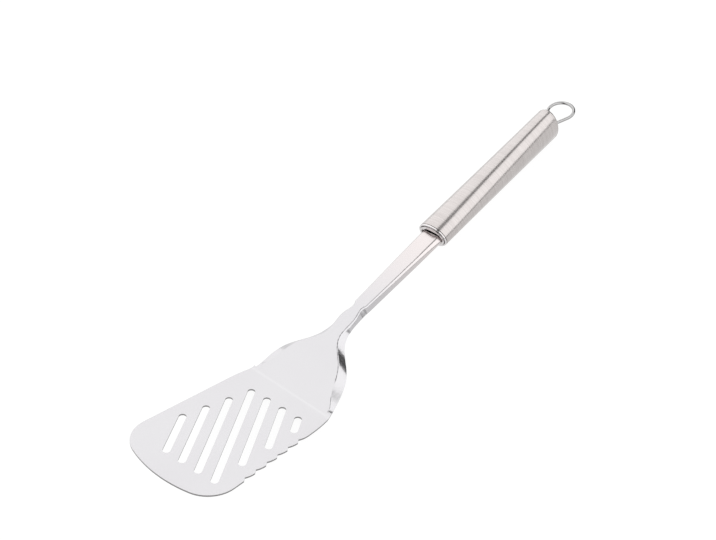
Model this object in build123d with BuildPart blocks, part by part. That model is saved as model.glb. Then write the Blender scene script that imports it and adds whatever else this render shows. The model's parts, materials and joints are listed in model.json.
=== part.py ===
from build123d import *
import os
from math import acos, asin, atan2, cos, degrees, hypot, radians, sin, tan

# A fish spatula: a slotted stamped blade and its shank, in a hollow handle with a wire loop.
# It lies as it does on a worktop, on the blade's crease and the rear end of the handle.
# X runs from the blade's tip to the loop and Z is up. Sizes are millimetres and degrees.

# Sheet of the blade, shoulder and shank
sheet = 1.0
overrun = 2.0

# Blade, measured from its crease along its own face
blade_length = 99.6
crease_half_width = 32.4
blade_flare = 2.6
front_radius = 78.0
corner_radius = 19.0
waist_length = 16.0
waist_half_width = 30.5
crease_radius = 6.0
shank_offset = 0.5

# Slots: slanted rows that end on four straight borders, at margins from the blade's own
slot_width = 4.4
slot_pitch = 10.32
slot_slant = 31.6
middle_row_place = -0.5
rows_left = 5
rows_right = 1
front_margin = 14.6
front_slant = 3.4
rear_margin = 12.3
rear_slant = 2.1
left_margin = 19.0
left_slant = 12.4
right_margin = 6.2

# Serrated edge: each notch steps in behind a crest and eases out to the next one, before the waist
tooth_count = 6
tooth_pitch = 8.45
tooth_depth = 1.5
teeth_margin = 29.4
tooth_step_share = 0.25
tooth_middle_share = 0.6
tooth_bulge_share = 0.3

# Shoulder and shank: from the side a slope, an arc and a straight channel
shoulder_pitch = 39.5
shank_pitch = 21.0
slope_length = 20.7
shoulder_radius = 146.0
shank_length = 68.5
tang_length = 26.0
shoulder_half_width = 30.0
shoulder_ridge_inset = 2.8
neck_half_width = 5.7
neck_ridge_inset = 1.7
flange_depth = 4.7
ridge_radius = 0.6
shank_half_width = 6.65
shank_ridge_inset = 0.05
shank_flange_depth = 4.3
shank_fold_radius = 1.6
shank_middle_share = 0.64
mouth_flange_half_width = 7.8
mouth_ridge_inset = 1.25
mouth_flange_depth = 3.0
mouth_fold_radius = 3.6
fold_limit_share = 0.97

# Stations of the shoulder: place along it, outer width, ridge width and flange depth
station_shares = (0.155, 0.31, 0.46, 0.605, 0.74, 0.875, 1.0)
outer_shares = (0.93, 0.79, 0.475, 0.14, 0.028, 0.006, 0.0)
ridge_shares = (0.845, 0.667, 0.39, 0.055, 0.034, 0.024, 0.026)
depth_shares = (0.43, 0.74, 0.95, 0.73, 0.68, 0.76, 0.9)
first_depth_share = 0.08

# Handle
handle_pitch = 20.0
handle_length = 121.5
mouth_half_width = 10.7
mouth_half_height = 7.5
rear_half_width = 8.7
rear_half_height = 12.1
shell_wall = 0.8
shank_rise = 2.2
fit_gap = 0.1

# Bead and cap at the mouth
ring_length = 1.9
ring_wall = 1.3
ring_rounding = 0.6
mouth_cap_wall = 1.0
mouth_rim_width = 1.1
mouth_rim_height = 0.7
mouth_skirt_length = 4.0
slot_gap = 0.3
slot_top_gap = 1.1

# Cap at the rear
rear_cap_length = 2.4
rear_cap_rounding = 1.8
rear_skirt_length = 4.5
cap_skirt_wall = 0.8

# Loop
wire_radius = 1.1
loop_radius = 8.5
loop_reach = 14.0
leg_half_gap = 3.4
leg_hole_gap = 0.15
leg_lead = 0.9
leg_bend_radius = 4.0
hook_bend_radius = 1.6
hook_reach = 3.0

# Side line of the shoulder and shank, from the crease
shoulder_turn = radians(shoulder_pitch - shank_pitch)
shoulder_length = slope_length + shoulder_radius * shoulder_turn
mouth_run = shoulder_length + shank_length


def side_point(run):
    """Place along the blade, height above its face, and pitch, at a run from the crease."""
    start = radians(shoulder_pitch)
    if run <= slope_length:
        return run * cos(start), run * sin(start), shoulder_pitch
    turn = min((run - slope_length) / shoulder_radius, shoulder_turn)
    pitch = start - turn
    straight = max(run - shoulder_length, 0)
    x = slope_length * cos(start) + shoulder_radius * (sin(start) - sin(pitch)) + straight * cos(pitch)
    z = slope_length * sin(start) + shoulder_radius * (cos(pitch) - cos(start)) + straight * sin(pitch)
    return x, z, degrees(pitch)


# Handle axis: its mouth lies under the top face of the shank
shank_x, shank_z, mouth_pitch = side_point(mouth_run)
axis_angle = radians(handle_pitch)
handle_x = shank_x + shank_rise * sin(axis_angle)
handle_z = shank_z - shank_rise * cos(axis_angle)


def handle_point(along, above):
    """A point of the middle plane, along the handle from its mouth and above its axis."""
    x = handle_x + along * cos(axis_angle) - above * sin(axis_angle)
    z = handle_z + along * sin(axis_angle) + above * cos(axis_angle)
    return x, z


# The tilt at rest: a table touches the bend of the crease and the rear cap's lower edge
bend_tangent = crease_radius * tan(radians(shoulder_pitch / 2))
bend_outer_radius = crease_radius + sheet
cap_edge_run = handle_length - rear_cap_rounding
cap_edge_x, cap_edge_z = handle_point(cap_edge_run, rear_cap_rounding - rear_half_height)
rest_run = cap_edge_x + bend_tangent
rest_rise = cap_edge_z - crease_radius
rest_drop = bend_outer_radius - rear_cap_rounding
tilt = atan2(rest_rise, rest_run) + asin(rest_drop / hypot(rest_run, rest_rise))


def turned(x, z):
    """A point of the middle plane, turned from the blade's frame to the frame at rest."""
    return x * cos(tilt) + z * sin(tilt), z * cos(tilt) - x * sin(tilt)


# Origin: the middle of the whole length, on the table
tip_x = turned(-blade_length, -sheet)[0]
loop_x = turned(*handle_point(handle_length + loop_reach, 0))[0]
loop_end_x = loop_x + loop_radius * cos(axis_angle - tilt) + wire_radius
crease_x = -(tip_x + loop_end_x) / 2
crease_z = bend_outer_radius - turned(-bend_tangent, crease_radius)[1]


def placed(x, z):
    """A point of the shank's middle plane, in the part's frame."""
    along, up = turned(x, z)
    return crease_x + along, -shank_offset, crease_z + up


def square_plane(x, z, pitch):
    """A plane square to a line of that pitch, its X across the tool and its Y upwards."""
    angle = radians(pitch) - tilt
    return Plane(origin=placed(x, z), x_dir=(0, 1, 0), z_dir=(cos(angle), 0, sin(angle)))


def handle_plane(along):
    """A plane square to the handle."""
    return square_plane(*handle_point(along, 0), handle_pitch)


def between(low, high, share):
    """A value at a share of the way from low to high."""
    return low + (high - low) * share


forward = (cos(tilt), 0, -sin(tilt))
blade_plane = Plane(origin=(crease_x, 0, crease_z), x_dir=forward, z_dir=(sin(tilt), 0, cos(tilt)))
side_plane = Plane(origin=placed(0, 0), x_dir=forward, z_dir=(0, -1, 0))

# Blade, shoulder, shank and tang, all one sheet
flare = tan(radians(blade_flare))
waist_side = crease_half_width + waist_length * flare
front_overrun = blade_length + overrun
field_front = blade_length - front_margin
field_left = crease_half_width - left_margin
field_right = crease_half_width - right_margin
first_crest = blade_length - teeth_margin
front_side = crease_half_width + front_overrun * flare
bend_end_x = bend_tangent * cos(radians(shoulder_pitch))
bend_end_z = bend_tangent * sin(radians(shoulder_pitch))
rear_edge = bend_end_x + sheet * sin(radians(shoulder_pitch))
under_edge = bend_end_z - sheet * cos(radians(shoulder_pitch))


def slot_ends(place):
    """Runs along a slanted row at which it crosses the borders of the field of slots."""
    c = cos(radians(slot_slant))
    s = sin(radians(slot_slant))
    front = tan(radians(front_slant))
    rear = tan(radians(rear_slant))
    left = tan(radians(left_slant))
    at_front = (-field_front - place * (s - front * c)) / (c + front * s)
    at_right = (place * c - field_right) / s
    at_rear = (-rear_margin - place * (s - rear * c)) / (c + rear * s)
    at_left = (field_left + place * (c - left * s)) / (s + left * c)
    return max(at_front, at_right), min(at_rear, at_left)


def edge_point(run, depth):
    """A point by the serrated side: run from the crease to the front, depth into the blade."""
    angle = radians(blade_flare)
    x = -run * cos(angle) + depth * sin(angle)
    y = -crease_half_width - run * sin(angle) + depth * cos(angle)
    return x, y


def channel_outline(half_width, ridge_half_width, depth, fold_radius, wall, rise=0):
    """The folded sheet's section: a flat top and two skirts, with rounded ridges."""
    slope = atan2(depth + rise, half_width - ridge_half_width)
    reach = hypot(depth + rise, half_width - ridge_half_width)
    outer_radius = min(fold_radius + wall, fold_limit_share * reach / tan(slope / 2))
    foot_x = half_width - wall * sin(slope)
    foot_y = -depth - wall * cos(slope)
    under_x = ridge_half_width - wall * tan(slope / 2)
    under_y = rise - wall
    outer = [(-half_width, -depth), (-ridge_half_width, rise),
             (ridge_half_width, rise), (half_width, -depth)]
    inner = [(foot_x, foot_y), (under_x, under_y), (-under_x, under_y), (-foot_x, foot_y)]
    FilletPolyline(*outer, radius=outer_radius)
    Line(outer[-1], inner[0])
    FilletPolyline(*inner, radius=outer_radius - wall)
    Line(inner[-1], outer[0])


def folded(run, half_width, ridge_half_width, depth, fold_radius):
    """A section of the folded sheet, at a run from the crease."""
    with BuildSketch(square_plane(*side_point(run))) as section:
        with BuildLine():
            channel_outline(half_width, ridge_half_width, depth, fold_radius, sheet)
        make_face()
    return section.sketch


# Ridge lines of the folded sheet, inside its edges
shoulder_ridge_half_width = shoulder_half_width - shoulder_ridge_inset
neck_ridge_half_width = neck_half_width - neck_ridge_inset
shank_ridge_half_width = shank_half_width - shank_ridge_inset
mouth_ridge_half_width = mouth_flange_half_width - mouth_ridge_inset

# Sections of the folded sheet: run from the crease, half widths, flange depth and fold radius
first_depth = flange_depth * first_depth_share
shoulder = [(bend_tangent, shoulder_half_width, shoulder_ridge_half_width, first_depth, ridge_radius)]
for station, outer, ridge, depth in zip(station_shares, outer_shares, ridge_shares, depth_shares):
    half_width = between(neck_half_width, shoulder_half_width, outer)
    ridge_half_width = between(neck_ridge_half_width, shoulder_ridge_half_width, ridge)
    station_run = shoulder_length * station
    shoulder.append((station_run, half_width, ridge_half_width, flange_depth * depth, ridge_radius))
middle_run = between(shoulder_length, mouth_run, shank_middle_share)
middle_channel = (shank_half_width, shank_ridge_half_width, shank_flange_depth, shank_fold_radius)
mouth_channel = (mouth_flange_half_width, mouth_ridge_half_width, mouth_flange_depth, mouth_fold_radius)
shank = [shoulder[-1],
         (middle_run, *middle_channel),
         (mouth_run, *mouth_channel),
         (mouth_run + tang_length, *mouth_channel)]

with BuildPart() as blade_and_shank:
    with BuildSketch(blade_plane):
        with BuildLine():
            TangentArc((-waist_length, waist_side), (rear_edge, waist_half_width), tangent=(1, -flare))
            Line((rear_edge, waist_half_width), (rear_edge, -waist_half_width))
            TangentArc((-waist_length, -waist_side), (rear_edge, -waist_half_width), tangent=(1, flare))
            Line((-waist_length, -waist_side), (-front_overrun, -front_side))
            Line((-front_overrun, -front_side), (-front_overrun, front_side))
            Line((-front_overrun, front_side), (-waist_length, waist_side))
        make_face()
        with Locations((front_radius - blade_length, 0)):
            Circle(front_radius, mode=Mode.INTERSECT)
        fillet(vertices().group_by(Axis.X)[0], corner_radius)
        for row in range(-rows_left, rows_right + 1):
            place = middle_row_place + row * slot_pitch
            start, end = slot_ends(place)
            middle = (start + end) / 2
            slot_x = middle * cos(radians(slot_slant)) + place * sin(radians(slot_slant))
            slot_y = middle * sin(radians(slot_slant)) - place * cos(radians(slot_slant))
            if end - start > slot_width:
                with Locations((slot_x, slot_y)):
                    SlotOverall(end - start, slot_width, rotation=slot_slant, mode=Mode.SUBTRACT)
        for tooth in range(tooth_count):
            crest = first_crest - tooth * tooth_pitch
            next_crest = crest - tooth_pitch
            if next_crest > waist_length:
                root = edge_point(crest - tooth_pitch * tooth_step_share, tooth_depth)
                ease = edge_point(crest - tooth_pitch * tooth_middle_share, tooth_depth * tooth_bulge_share)
                with BuildLine():
                    Polyline(root, edge_point(crest, 0), edge_point(crest, -overrun),
                             edge_point(next_crest, -overrun), edge_point(next_crest, 0))
                    ThreePointArc(edge_point(next_crest, 0), ease, root)
                make_face(mode=Mode.SUBTRACT)
    extrude(amount=bend_end_z + overrun, both=True)
    with BuildSketch(side_plane):
        with BuildLine():
            Polyline((-bend_tangent, 0), (-front_overrun, 0),
                     (-front_overrun, -sheet), (-bend_tangent, -sheet))
            TangentArc((-bend_tangent, -sheet), (rear_edge, under_edge), tangent=(1, 0))
            Line((rear_edge, under_edge), (bend_end_x, bend_end_z))
            TangentArc((-bend_tangent, 0), (bend_end_x, bend_end_z), tangent=(1, 0))
        make_face()
    extrude(amount=front_side + overrun, both=True, mode=Mode.INTERSECT)
    loft([folded(*station) for station in shoulder])
    loft([folded(*station) for station in shank], ruled=True)
blade_and_shank.part.label = "blade_and_shank"

# Handle shell: a wide oval at the mouth that turns to a tall oval at the rear
shell_end = handle_length - rear_cap_length


def shell_half_sizes(along, inset):
    """Half width and half height of the handle's oval, moved in by inset."""
    share = along / shell_end
    half_width = between(mouth_half_width, rear_half_width, share)
    half_height = between(mouth_half_height, rear_half_height, share)
    return half_width - inset, half_height - inset


def oval(along, inset):
    """The handle's oval section at a place along it, moved in by inset."""
    with BuildSketch(handle_plane(along)) as section:
        Ellipse(*shell_half_sizes(along, inset))
    return section.sketch


with BuildPart() as handle_shell:
    loft([oval(0, 0), oval(shell_end, 0)], ruled=True)
    loft([oval(0, shell_wall), oval(shell_end, shell_wall)], ruled=True, mode=Mode.SUBTRACT)
handle_shell.part.label = "handle_shell"

# Bead round the mouth
with BuildPart() as mouth_ring:
    with BuildSketch(handle_plane(-ring_length)):
        Ellipse(*shell_half_sizes(0, 0))
        Ellipse(*shell_half_sizes(0, ring_wall), mode=Mode.SUBTRACT)
    extrude(amount=ring_length)
    fillet(edges(), ring_rounding)
mouth_ring.part.label = "mouth_ring"

# Cap in the mouth: a skirt in the bore, a face inside the bead, a raised rim and a slot
skirt_inset = shell_wall + fit_gap
bore_inset = skirt_inset + cap_skirt_wall
face_inset = ring_wall + fit_gap
with BuildPart() as mouth_cap:
    loft([oval(0, skirt_inset), oval(mouth_skirt_length, skirt_inset)], ruled=True)
    loft([oval(mouth_cap_wall, bore_inset), oval(mouth_skirt_length, bore_inset)],
         ruled=True, mode=Mode.SUBTRACT)
    with BuildSketch(handle_plane(-mouth_cap_wall)):
        Ellipse(*shell_half_sizes(0, face_inset))
    extrude(amount=mouth_cap_wall)
    with BuildSketch(handle_plane(-mouth_cap_wall - mouth_rim_height)):
        Ellipse(*shell_half_sizes(0, face_inset))
        Ellipse(*shell_half_sizes(0, face_inset + mouth_rim_width), mode=Mode.SUBTRACT)
    extrude(amount=mouth_rim_height)
    with BuildSketch(square_plane(shank_x, shank_z, mouth_pitch)):
        with BuildLine():
            channel_outline(mouth_flange_half_width + slot_gap, mouth_ridge_half_width + slot_gap,
                            mouth_flange_depth + slot_gap, mouth_fold_radius,
                            sheet + slot_gap + slot_top_gap, rise=slot_top_gap)
        make_face()
    extrude(amount=mouth_skirt_length + overrun, both=True, mode=Mode.SUBTRACT)
mouth_cap.part.label = "mouth_cap"

# Cap at the rear: a rounded end, a skirt in the bore and two holes for the loop's legs
rear_skirt_start = shell_end - rear_skirt_length
with BuildPart() as rear_cap:
    with BuildSketch(handle_plane(shell_end)):
        Ellipse(*shell_half_sizes(shell_end, 0))
    extrude(amount=rear_cap_length)
    fillet(faces().sort_by(Axis.X)[-1].edges(), rear_cap_rounding)
    loft([oval(rear_skirt_start, skirt_inset), oval(shell_end, skirt_inset)], ruled=True)
    loft([oval(rear_skirt_start, bore_inset), oval(shell_end, bore_inset)],
         ruled=True, mode=Mode.SUBTRACT)
    with BuildSketch(handle_plane(handle_length)):
        with Locations((leg_half_gap, 0), (-leg_half_gap, 0)):
            Circle(wire_radius + leg_hole_gap)
    extrude(amount=-rear_cap_length - overrun, mode=Mode.SUBTRACT)
rear_cap.part.label = "rear_cap"

# Loop: its legs pass the rear cap and turn outwards behind it
hook_depth = rear_cap_length + leg_hole_gap + wire_radius + hook_bend_radius
centre_run = loop_reach - leg_lead
centre_distance = hypot(centre_run, leg_half_gap)
touch_angle = atan2(leg_half_gap, -centre_run) - acos(loop_radius / centre_distance)
touch_x = loop_reach + loop_radius * cos(touch_angle)
touch_y = loop_radius * sin(touch_angle)
end_x, end_z = handle_point(handle_length, 0)
handle_angle = axis_angle - tilt
loop_plane = Plane(origin=placed(end_x, end_z), x_dir=(cos(handle_angle), 0, sin(handle_angle)),
                   z_dir=(-sin(handle_angle), 0, cos(handle_angle)))
leg = [(-hook_depth, leg_half_gap + hook_reach), (-hook_depth, leg_half_gap), (leg_lead, leg_half_gap),
       (touch_x, touch_y)]
other_leg = [(x, -y) for x, y in leg]

with BuildPart() as hanging_loop:
    with BuildLine(loop_plane) as wire_path:
        FilletPolyline(*leg, radius=(hook_bend_radius, leg_bend_radius))
        ThreePointArc(leg[-1], (loop_reach + loop_radius, 0), other_leg[-1])
        FilletPolyline(*other_leg, radius=(hook_bend_radius, leg_bend_radius))
    wire = wire_path.wire()
    with BuildSketch(Plane(origin=wire @ 0, z_dir=wire % 0)):
        Circle(wire_radius)
    sweep(path=wire)
hanging_loop.part.label = "hanging_loop"

os.makedirs("parts", exist_ok=True)
export_step(blade_and_shank.part, "parts/blade_and_shank.step")
export_step(handle_shell.part, "parts/handle_shell.step")
export_step(mouth_ring.part, "parts/mouth_ring.step")
export_step(mouth_cap.part, "parts/mouth_cap.step")
export_step(rear_cap.part, "parts/rear_cap.step")
export_step(hanging_loop.part, "parts/hanging_loop.step")
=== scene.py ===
import json
from math import cos, pi, radians, sin, tan

import bmesh
import bpy
from mathutils import Matrix


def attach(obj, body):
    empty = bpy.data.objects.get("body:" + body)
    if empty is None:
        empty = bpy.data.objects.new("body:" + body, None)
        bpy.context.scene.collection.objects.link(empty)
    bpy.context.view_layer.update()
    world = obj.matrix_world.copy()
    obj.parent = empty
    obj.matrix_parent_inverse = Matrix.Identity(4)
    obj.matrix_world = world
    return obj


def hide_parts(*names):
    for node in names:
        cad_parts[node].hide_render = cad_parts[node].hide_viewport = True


# A fish spatula in satin and brushed steel, on a pale floor in soft studio light.
# Metres and degrees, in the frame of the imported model.
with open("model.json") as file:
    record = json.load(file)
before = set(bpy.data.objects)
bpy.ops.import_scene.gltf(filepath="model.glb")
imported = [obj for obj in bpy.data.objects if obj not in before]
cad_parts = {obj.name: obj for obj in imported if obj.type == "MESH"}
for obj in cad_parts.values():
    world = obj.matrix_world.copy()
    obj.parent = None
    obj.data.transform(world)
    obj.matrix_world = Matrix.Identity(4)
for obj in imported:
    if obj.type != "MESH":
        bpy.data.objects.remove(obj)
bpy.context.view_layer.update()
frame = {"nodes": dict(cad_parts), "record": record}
cad = frame["nodes"]
MM = 0.001

# Camera: where it stands, where it looks and how it is rolled
camera_place = (-0.3193, -0.3599, 0.5430)
camera_heading = 39.45
camera_drop = 47.13
camera_roll = -12.76
camera_lens = 59.94
camera_sensor = 36.0
camera_near = 0.01

# Light: two long softboxes, a dim strip between them and another below the left one, in a dark room
light_reach = 1.3
light_length = 4.4
left_light_edges = (14.0, 79.0)
right_light_edges = (-4.0, -90.0)
low_strip_edges = (79.0, 90.0)
left_light_radiance = 1.7
right_light_radiance = 1.56
strip_radiance = 0.25
low_strip_radiance = 0.45
room_radiance = 0.05
white = (1, 1, 1, 1)

# Floor and backdrop
floor_colour = (0.08, 0.08, 0.08, 1)
floor_roughness = 0.9
floor_glow = 0.92
floor_radius = 3.0
floor_segments = 96
backdrop_colour = (0.1, 0.1, 0.1, 1)
backdrop_roughness = 1.0
backdrop_glow = 0.92
backdrop_radius = 6.0
backdrop_segments = 48
backdrop_rings = 24

# Sheet: the blade's tilt, its crease and the painted highlight line along it, where the neck ends and the
# handle starts (between them the painted reflection comes onto the shank), how far past the crease the
# painted shade on the blade's rims comes in, and where the painted shade on the hidden tang begins
blade_tilt = 20.628
crease_x = -0.0929
crease_highlight_half_width = 1.2 * MM
rim_shade_start = 2 * MM
neck_end_x = -0.03
shank_end_x = 0.03
tang_shade_edges = (0.0407, 0.0411)

# Handle: the middle of its mouth, its fall along X, its length and its oval at each end
mouth_centre = (0.041407, -0.0005, 0.013411)
handle_fall = 0.628
shell_length = 119.1 * MM
shell_wall = 0.8 * MM
mouth_oval = (10.7 * MM, 7.5 * MM)
rear_oval = (8.7 * MM, 12.1 * MM)
oval_segments = 128
shell_steps = 12
seam_rounding = 0.15 * MM
seam_steps = 4
weld_distance = 0.002 * MM
sharp_angle = 35.0

# Bead round the mouth, and the rear cap with its skirt in the bore
bead_radius = 0.62 * MM
bead_steps = 14
cap_length = 2.4 * MM
cap_rounding = 1.8 * MM
cap_steps = 8
skirt_length = 4.5 * MM
skirt_inset = 0.9 * MM

# Satin finish of the sheet: tones from dark to pale on the blade; paler, pinker tones on the shank as
# painted reflection; a pale painted highlight at the crease; dark rims, partly sheared edges and partly
# painted shade; painted shade on the hidden tang; grain and clouds in cycles per metre
blade_tones = ((0.49, 0.48, 0.495, 1), (0.52, 0.515, 0.525, 1))
# painted reflection: the shank's tones are paler and pinker than the blade's
shank_reflection_tones = ((0.56, 0.52, 0.515, 1), (0.59, 0.55, 0.545, 1))
# painted highlight: a pale line along the crease
crease_highlight_tone = (0.528, 0.523, 0.533, 1)
# the blade's rims are darker: partly their sheared edges, partly painted shade
rim_shade_tone = (0.24, 0.235, 0.235, 1)
rim_shade_turn = (0.8, 0.4)
# painted shade on the tang inside the handle's mouth
tang_shade_tone = (0.02, 0.02, 0.02, 1)
sheet_grain = 900
sheet_grain_detail = 3
sheet_grain_stretch = (0.25, 1, 1)
sheet_clouds = 25
sheet_cloud_detail = 2
sheet_roughness = (0.16, 0.22)

# Brushed finish of the handle: lines round it, slightly brown where they are dark
handle_tones = ((0.4, 0.37, 0.362, 1), (0.56, 0.53, 0.52, 1))
brush_lines = 1000
brush_detail = 2
brush_stretch = (1, 0.02, 0.02)
brush_roughness = (0.18, 0.28)

# Polished finish: pale at the handle's mouth, darker on the loop's wire as painted shade
wire_shade_edges = (0.05, 0.15)
mouth_trim_tone = (0.62, 0.6, 0.6, 1)
# painted shade: the loop's wire is darker than the mouth trim
wire_shade_tone = (0.38, 0.375, 0.375, 1)
trim_haze = 300
trim_haze_detail = 3
trim_roughness = (0.05, 0.12)

# Depth of the grain and of the brushed lines
grain_strength = 0.05
grain_depth = 0.2 * MM

# Places of the colour sockets on a Mix node
mix_value, mix_low, mix_high, mix_result = 0, 6, 7, 2

handle_frame = Matrix.Translation(mouth_centre) @ Matrix.Rotation(radians(handle_fall), 4, "Y")


def new_object(name, data):
    """An object at the origin, linked to the scene."""
    made = bpy.data.objects.new(name, data)
    bpy.context.scene.collection.objects.link(made)
    return made


def mesh_from(bm, name):
    """A mesh and its object from a finished bmesh."""
    mesh = bpy.data.meshes.new(name)
    bm.to_mesh(mesh)
    bm.free()
    return new_object(name, mesh)


def oval_shape(along, inset):
    """What turns a unit circle into the handle's oval, at a place along it and moved in."""
    share = min(max(along / shell_length, 0), 1)
    half_width, half_height = [low + (high - low) * share for low, high in zip(mouth_oval, rear_oval)]
    shape = handle_frame @ Matrix.Translation((along, 0, 0))
    shape = shape @ Matrix.Diagonal((1, half_width - inset, half_height - inset, 1))
    return shape @ Matrix.Rotation(radians(90), 4, "Y")


def oval_piece(name, steps, hollow):
    """A piece whose skin is an oval drawn on through steps, each a place along the handle and an inset."""
    route = steps + steps[:1] if hollow else steps
    bm = bmesh.new()
    rings = [bmesh.ops.create_circle(bm, segments=oval_segments, radius=1)["verts"]]
    first_edges = bm.edges[:]
    edges = first_edges
    for _ in route[1:]:
        made = bmesh.ops.extrude_edge_only(bm, edges=edges)["geom"]
        edges = [item for item in made if isinstance(item, bmesh.types.BMEdge)]
        rings.append([item for item in made if isinstance(item, bmesh.types.BMVert)])
    for ring, step in zip(rings, route):
        bmesh.ops.transform(bm, matrix=oval_shape(*step), verts=ring)
    if hollow:
        bmesh.ops.remove_doubles(bm, verts=bm.verts, dist=weld_distance)
    else:
        bmesh.ops.contextual_create(bm, geom=first_edges)
        bmesh.ops.contextual_create(bm, geom=edges)
    bmesh.ops.recalc_face_normals(bm, faces=bm.faces)
    for face in bm.faces:
        face.smooth = True
    piece = mesh_from(bm, name)
    piece.data.set_sharp_from_angle(angle=radians(sharp_angle))
    return piece


def rounded(along, inset, radius, start, end, steps):
    """Ring places round an arc, between two angles from the handle's axis."""
    places = []
    for step in range(steps + 1):
        angle = radians(start + (end - start) * step / steps)
        places.append((along + radius * cos(angle), inset - radius * sin(angle)))
    return places


def handle_tube():
    """The hollow shell, rounded a little where it meets the rear cap."""
    steps = [(shell_length * step / shell_steps, 0) for step in range(shell_steps)]
    steps += rounded(shell_length - seam_rounding, seam_rounding, seam_rounding, 90, 0, seam_steps)
    steps += [(shell_length, shell_wall), (0, shell_wall)]
    return oval_piece("handle_tube", steps, hollow=True)


def handle_end():
    """The rear cap: its skirt in the bore, the seam and the rounded end."""
    steps = [(shell_length - skirt_length, skirt_inset), (shell_length, skirt_inset)]
    steps += rounded(shell_length + seam_rounding, seam_rounding, seam_rounding, 180, 90, seam_steps)
    steps += rounded(shell_length + cap_length - cap_rounding, cap_rounding, cap_rounding, 90, 0, cap_steps)
    return oval_piece("handle_end", steps, hollow=False)


def mouth_bead():
    """The rolled bead: a small circle carried round the mouth."""
    steps = rounded(-bead_radius, bead_radius, bead_radius, 360, 0, bead_steps)[:-1]
    return oval_piece("mouth_bead", steps, hollow=True)


class Finish:
    """A material with its nodes, and short ways to add and join them."""

    def __init__(self, name, colour, metallic, roughness):
        self.material = bpy.data.materials.new(name)
        self.material.use_nodes = True
        self.tree = self.material.node_tree
        self.shader = self.tree.nodes["Principled BSDF"]
        self.shader.inputs["Base Color"].default_value = colour
        self.shader.inputs["Metallic"].default_value = metallic
        self.shader.inputs["Roughness"].default_value = roughness

    def add(self, kind, **values):
        """A node, with some of its sockets or settings given."""
        node = self.tree.nodes.new(kind)
        for name, value in values.items():
            if name in node.inputs:
                node.inputs[name].default_value = value
            else:
                setattr(node, name, value)
        return node

    def join(self, output, target):
        self.tree.links.new(output, target)

    def place(self, scale=(1, 1, 1)):
        """Object coordinates, stretched for a grain that runs one way."""
        coordinates = self.add("ShaderNodeTexCoord")
        mapping = self.add("ShaderNodeMapping", Scale=scale)
        self.join(coordinates.outputs["Object"], mapping.inputs["Vector"])
        return mapping.outputs["Vector"]

    def noise(self, scale, detail, vector):
        """A 0 to 1 value that wanders over the piece."""
        made = self.add("ShaderNodeTexNoise", Scale=scale, Detail=detail)
        self.join(vector, made.inputs["Vector"])
        return made.outputs["Fac"]

    def spread(self, value, start=0, end=1, low=0, high=1):
        """Low to high as a value goes from start to end."""
        made = self.add("ShaderNodeMapRange")
        made.inputs["From Min"].default_value = start
        made.inputs["From Max"].default_value = end
        made.inputs["To Min"].default_value = low
        made.inputs["To Max"].default_value = high
        self.join(value, made.inputs["Value"])
        return made.outputs["Result"]

    def mix(self, value, low, high):
        """A colour between two tones or two colour sockets, by a 0 to 1 value."""
        made = self.add("ShaderNodeMix", data_type="RGBA")
        self.join(value, made.inputs[mix_value])
        for socket, colour in ((made.inputs[mix_low], low), (made.inputs[mix_high], high)):
            if isinstance(colour, tuple):
                socket.default_value = colour
            else:
                self.join(colour, socket)
        return made.outputs[mix_result]

    def math(self, operation, *values):
        """One sum on one or two values."""
        made = self.add("ShaderNodeMath", operation=operation)
        for socket, value in zip(made.inputs, values):
            self.join(value, socket)
        return made.outputs["Value"]

    def along(self, start, end):
        """0 to 1 along X, between two places on the piece."""
        coordinates = self.add("ShaderNodeTexCoord")
        parts = self.add("ShaderNodeSeparateXYZ")
        self.join(coordinates.outputs["Object"], parts.inputs["Vector"])
        return self.spread(parts.outputs["X"], start, end)

    def rims(self, face):
        """1 where the skin is square to a face, 0 where it lies along it."""
        coordinates = self.add("ShaderNodeTexCoord")
        turned = self.add("ShaderNodeVectorMath", operation="DOT_PRODUCT")
        self.join(coordinates.outputs["Normal"], turned.inputs[0])
        turned.inputs[1].default_value = face
        return self.spread(self.math("ABSOLUTE", turned.outputs["Value"]), *rim_shade_turn)

    def colour(self, output):
        self.join(output, self.shader.inputs["Base Color"])

    def roughen(self, value, low, high):
        """Roughness between two numbers, by a 0 to 1 value."""
        self.join(self.spread(value, low=low, high=high), self.shader.inputs["Roughness"])

    def bump(self, value):
        """Fine relief from a 0 to 1 value."""
        made = self.add("ShaderNodeBump", Strength=grain_strength, Distance=grain_depth)
        self.join(value, made.inputs["Height"])
        self.join(made.outputs["Normal"], self.shader.inputs["Normal"])

    def glow(self, strength):
        """White light from the surface, the same all over."""
        self.shader.inputs["Emission Color"].default_value = white
        self.shader.inputs["Emission Strength"].default_value = strength


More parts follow.
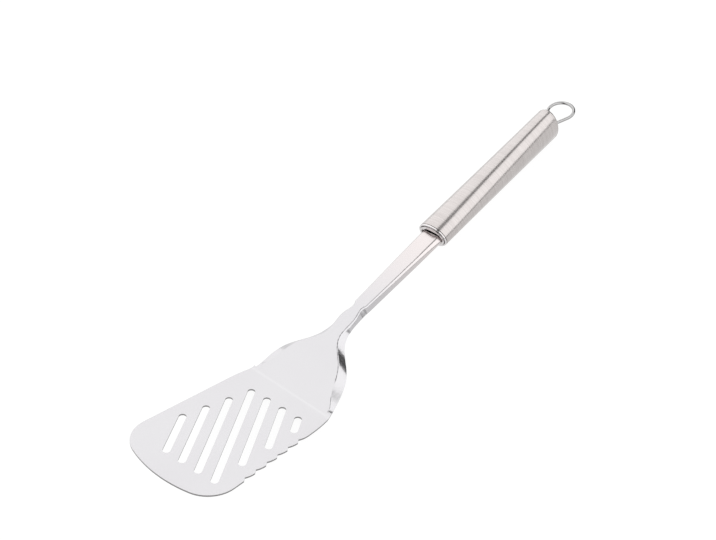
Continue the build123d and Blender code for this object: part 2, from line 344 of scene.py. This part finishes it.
def satin_sheet():
    """Satin steel: paler and pinker on the shank as painted reflection, with a painted highlight along the
    crease, dark on the blade's rims as sheared edges and painted shade, and painted shade on the hidden
    tang.
    """
    finish = Finish("satin_sheet", blade_tones[1], 1.0, sheet_roughness[1])
    grain = finish.noise(sheet_grain, sheet_grain_detail, finish.place(sheet_grain_stretch))
    finish.roughen(grain, *sheet_roughness)
    finish.bump(grain)
    cloud = finish.noise(sheet_clouds, sheet_cloud_detail, finish.place())
    blade_tone = finish.mix(cloud, *blade_tones)
    # painted reflection: the sheet turns paler and pinker from the neck to the handle
    shank_reflection_tone = finish.mix(cloud, *shank_reflection_tones)
    reflected_shank_tone = finish.mix(finish.along(neck_end_x, shank_end_x), blade_tone, shank_reflection_tone)
    # painted highlight: a pale line peaking at the crease
    highlight_rise = finish.along(crease_x - crease_highlight_half_width, crease_x)
    highlight_fall = finish.along(crease_x + crease_highlight_half_width, crease_x)
    crease_highlight = finish.math("MULTIPLY", highlight_rise, highlight_fall)
    tone = finish.mix(crease_highlight, reflected_shank_tone, crease_highlight_tone)
    blade_face = (sin(radians(blade_tilt)), 0, cos(radians(blade_tilt)))
    # painted shade, with the darker sheared edges, on the blade's rims
    on_blade = finish.along(crease_x, crease_x - rim_shade_start)
    rim_shade = finish.math("MULTIPLY", finish.rims(blade_face), on_blade)
    sheet_tone = finish.mix(rim_shade, tone, rim_shade_tone)
    # painted shade on the hidden tang inside the handle
    finish.colour(finish.mix(finish.along(*tang_shade_edges), sheet_tone, tang_shade_tone))
    return finish.material


def brushed_handle():
    """Steel brushed across the handle, slightly brown in its darker lines."""
    finish = Finish("brushed_handle", handle_tones[1], 1.0, brush_roughness[0])
    lines = finish.noise(brush_lines, brush_detail, finish.place(brush_stretch))
    finish.roughen(lines, *brush_roughness)
    finish.bump(lines)
    finish.colour(finish.mix(lines, *handle_tones))
    return finish.material


def polished_trim():
    """Polished steel: pale on the bead and cap at the mouth, darker on the loop's wire as painted shade."""
    finish = Finish("polished_trim", mouth_trim_tone, 1.0, trim_roughness[0])
    haze = finish.noise(trim_haze, trim_haze_detail, finish.place())
    finish.roughen(haze, *trim_roughness)
    # painted shade: darker on the loop's wire
    finish.colour(finish.mix(finish.along(*wire_shade_edges), mouth_trim_tone, wire_shade_tone))
    return finish.material


finishes = {
    "satin_sheet": satin_sheet(),
    "brushed_handle": brushed_handle(),
    "polished_trim": polished_trim(),
}
pieces = {
    "handle_shell": handle_tube(),
    "rear_cap": handle_end(),
    "mouth_ring": mouth_bead(),
}
for subpart in frame["record"]["subparts"]:
    node = subpart["node"]
    slot = subpart["material_slot"]
    piece = pieces.get(node, cad[node])
    if node in pieces:
        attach(piece, "root")
        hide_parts(node)
    piece.data.materials.clear()
    piece.data.materials.append(finishes[slot])


def pale_floor():
    """A round floor that glows a little, so that it stays pale under the object."""
    bm = bmesh.new()
    bmesh.ops.create_circle(bm, cap_ends=True, segments=floor_segments, radius=floor_radius)
    floor = mesh_from(bm, "floor")
    finish = Finish("pale_floor", floor_colour, 0.0, floor_roughness)
    finish.glow(floor_glow)
    floor.data.materials.append(finish.material)


def backdrop():
    """A pale dome behind the floor, seen only by the camera."""
    bm = bmesh.new()
    bmesh.ops.create_uvsphere(bm, u_segments=backdrop_segments, v_segments=backdrop_rings,
                              radius=backdrop_radius)
    dome = mesh_from(bm, "backdrop")
    finish = Finish("pale_backdrop", backdrop_colour, 0.0, backdrop_roughness)
    finish.glow(backdrop_glow)
    dome.data.materials.append(finish.material)
    dome.visible_diffuse = False
    dome.visible_glossy = False
    dome.visible_shadow = False


def softbox(name, edges, radiance):
    """A long area light over the object, between two angles from straight up towards -Y."""
    low, high = edges
    middle = radians((low + high) / 2)
    half = abs(radians(high - low) / 2)
    width = 2 * light_reach * tan(half)
    data = bpy.data.lights.new(name, "AREA")
    data.shape = "RECTANGLE"
    data.size = light_length
    data.size_y = width
    data.energy = radiance * pi * light_length * width
    box = new_object(name, data)
    box.location = (0, -light_reach * sin(middle), light_reach * cos(middle))
    box.rotation_euler = (middle, 0, 0)
    box.visible_camera = False


def room():
    """The dim room, which polished steel reflects beyond the ends of the softboxes."""
    world = bpy.data.worlds.new("room")
    world.use_nodes = True
    background = world.node_tree.nodes["Background"]
    background.inputs["Color"].default_value = white
    background.inputs["Strength"].default_value = room_radiance
    bpy.context.scene.world = world


def camera():
    """The photograph's camera: turned to its heading, tipped down and rolled."""
    data = bpy.data.cameras.new("camera")
    data.lens = camera_lens
    data.sensor_width = camera_sensor
    data.clip_start = camera_near
    made = new_object("camera", data)
    turn = Matrix.Rotation(radians(-camera_heading), 4, "Z")
    turn = turn @ Matrix.Rotation(radians(90 - camera_drop), 4, "X")
    turn = turn @ Matrix.Rotation(radians(camera_roll), 4, "Z")
    made.matrix_world = Matrix.Translation(camera_place) @ turn
    bpy.context.scene.camera = made


pale_floor()
backdrop()
softbox("left_softbox", left_light_edges, left_light_radiance)
softbox("right_softbox", right_light_edges, right_light_radiance)
softbox("middle_strip", (left_light_edges[0], right_light_edges[0]), strip_radiance)
softbox("low_strip", low_strip_edges, low_strip_radiance)
room()
camera()
bpy.context.scene.view_settings.view_transform = "Standard"
